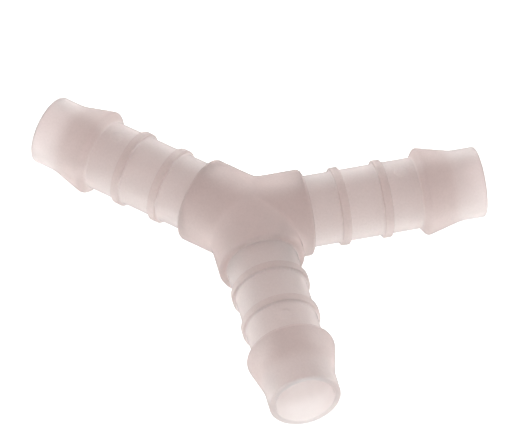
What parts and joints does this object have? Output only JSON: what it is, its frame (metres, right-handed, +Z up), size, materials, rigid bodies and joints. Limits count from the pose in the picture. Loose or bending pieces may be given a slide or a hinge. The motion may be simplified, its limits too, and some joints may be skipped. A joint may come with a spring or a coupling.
{
  "type": "barbed y connector",
  "caption": "Barbed Y hose connector in natural translucent plastic: a round hub with ribbed hose tails, the branches square to each other and the stem between them.",
  "frame": {"origin": "on the plane that the connector lies on, under the middle of its outline; the axes of the tails meet 3.73 mm towards +X of it and 7.35 mm above it", "axes": "-X along the stem, out of its mouth; the left branch opens at 45 degrees between +X and +Y and the right branch between +X and -Y; +Z up, square to the plane of the axes, with the ejector marks on top"},
  "size_m": [0.0714, 0.0638, 0.0147],
  "materials": {
    "natural_plastic": "translucent natural polypropylene, fine satin, faintly warm"
  },
  "bodies": {
    "root": {"hub": "natural_plastic", "stem_tail": "natural_plastic", "left_branch_tail": "natural_plastic", "right_branch_tail": "natural_plastic"}
  },
  "joints": []
}
